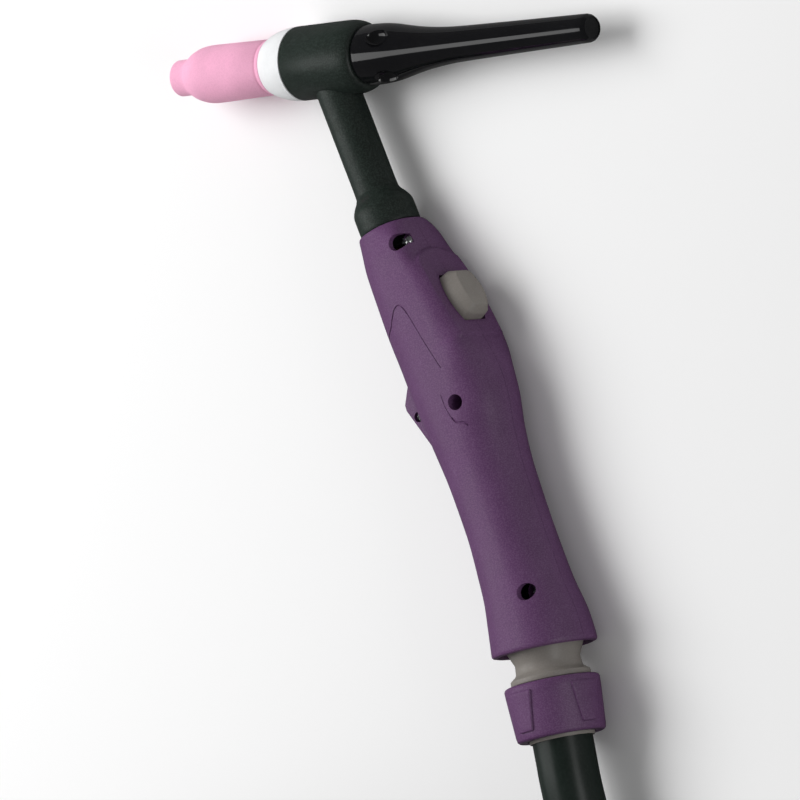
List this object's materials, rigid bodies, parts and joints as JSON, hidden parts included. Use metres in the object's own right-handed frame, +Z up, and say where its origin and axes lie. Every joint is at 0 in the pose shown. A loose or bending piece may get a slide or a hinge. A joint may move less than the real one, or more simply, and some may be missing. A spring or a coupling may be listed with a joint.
{
  "type": "tig welding torch",
  "caption": "TIG welding torch with a ceramic nozzle, long back cap, push-button handle, ball swivel and a coiled covered cable ending in its plugs.",
  "frame": {"origin": "bottom centre of the torch (without its free cable) where it lies on its side, on the surface that it rests on", "axes": "+X along the head from the nozzle to the back cap, +Y across from the cable end towards the head, +Z up, square to the handle's side"},
  "size_m": [0.3437, 0.6995, 0.0529],
  "materials": {
    "ceramic": "unglazed alumina, fine matte grain",
    "white_ptfe": "smooth satin PTFE",
    "rubber": "dark green-black moulded rubber, fine speckle",
    "seal_rubber": "plain black rubber",
    "black_plastic": "high gloss phenolic moulding",
    "black_moulding": "fine matte moulding",
    "purple_plastic": "fine spark-eroded grain",
    "grey_plastic": "smooth satin nylon",
    "brass": "turned brass",
    "copper": "drawn copper",
    "tungsten": "ground tungsten",
    "zinc_steel": "bright zinc plated steel",
    "cable_cover": "smooth satin cable cover",
    "tie_strap": "hook and loop strap"
  },
  "bodies": {
    "handle": {"handle_shell_left": "purple_plastic", "handle_shell_right": "purple_plastic", "front_insert": "purple_plastic", "button_bezel": "purple_plastic", "handle_screw_top": "zinc_steel", "handle_screw_middle": "zinc_steel", "handle_screw_hook": "zinc_steel", "handle_screw_bottom": "zinc_steel", "microswitch": "black_moulding", "head_cover": "rubber", "neck_tube": "copper", "torch_body": "brass", "power_union_nut": "brass", "power_cable": "seal_rubber", "collet_body": "copper", "collet": "copper"},
    "electrode": {"electrode": "tungsten"},
    "gasket": {"nozzle_gasket": "white_ptfe"},
    "nozzle": {"nozzle": "ceramic"},
    "cap_seal": {"back_cap_oring": "seal_rubber"},
    "back_cap": {"back_cap": "black_plastic"},
    "button": {"button": "grey_plastic", "switch_plunger": "grey_plastic"},
    "swivel": {"swivel_seat": "black_moulding"},
    "ball": {"ball_joint": "grey_plastic", "hose_in_ball": "seal_rubber", "cable_lead": "cable_cover", "cable_coil": "cable_cover", "cable_tail": "cable_cover", "cable_tie_1": "tie_strap", "cable_tie_2": "tie_strap", "cable_tie_3": "tie_strap", "plug_boot": "seal_rubber", "plug_body": "black_moulding", "plug_pin": "brass", "control_lead": "seal_rubber", "control_plug": "black_moulding"},
    "clamp_ring": {"cable_clamp_ring": "grey_plastic"},
    "cable_nut": {"cable_nut": "purple_plastic"}
  },
  "joints": [
    {"name": "electrode_slide", "type": "slide", "parent": "handle", "child": "electrode", "axis": [-1, 0, 0], "range_m": [-0.004, 0.012]},
    {"name": "nozzle_travel", "type": "slide", "parent": "handle", "child": "gasket", "axis": [-1, 0, 0], "range_m": [0, 0.0091]},
    {"name": "nozzle_screw", "type": "hinge", "parent": "gasket", "child": "nozzle", "pos_m": [-0.0314, 0.13351, 0.01505], "axis": [-1, 0, 0], "range_deg": [0, 2160]},
    {"name": "cap_travel", "type": "slide", "parent": "handle", "child": "cap_seal", "axis": [1, 0, 0], "range_m": [0, 0.0091]},
    {"name": "cap_screw", "type": "hinge", "parent": "cap_seal", "child": "back_cap", "pos_m": [-0.0314, 0.13351, 0.01505], "axis": [1, 0, 0], "range_deg": [0, 2160]},
    {"name": "button_press", "type": "slide", "parent": "handle", "child": "button", "axis": [-0.8526, -0.5224, 0.0111], "range_m": [0, 0.002], "stiffness_N_per_m": 450, "springref_m": -0.005},
    {"name": "swivel_spin", "type": "hinge", "parent": "handle", "child": "swivel", "pos_m": [0.05316, -0.10507, 0.02011], "axis": [0.1236, -0.9921, 0.021], "range_deg": [-60, 60]},
    {"name": "swivel_tilt", "type": "hinge", "parent": "swivel", "child": "ball", "pos_m": [0.05316, -0.10507, 0.02011], "axis": [0, 0.0212, 0.9998], "range_deg": [-8, 8]},
    {"name": "clamp_travel", "type": "slide", "parent": "ball", "child": "clamp_ring", "axis": [0.1236, -0.9921, 0.021], "range_m": [0, 0.0081]},
    {"name": "nut_screw", "type": "hinge", "parent": "clamp_ring", "child": "cable_nut", "pos_m": [0.05316, -0.10507, 0.02011], "axis": [0.1236, -0.9921, 0.021], "range_deg": [0, 1440]}
  ],
  "couplings": [
    {"joint": "nozzle_travel", "follows": "nozzle_screw", "m_per_rad": 0.00023873},
    {"joint": "cap_travel", "follows": "cap_screw", "m_per_rad": 0.00023873},
    {"joint": "clamp_travel", "follows": "nut_screw", "m_per_rad": 0.00031831}
  ]
}
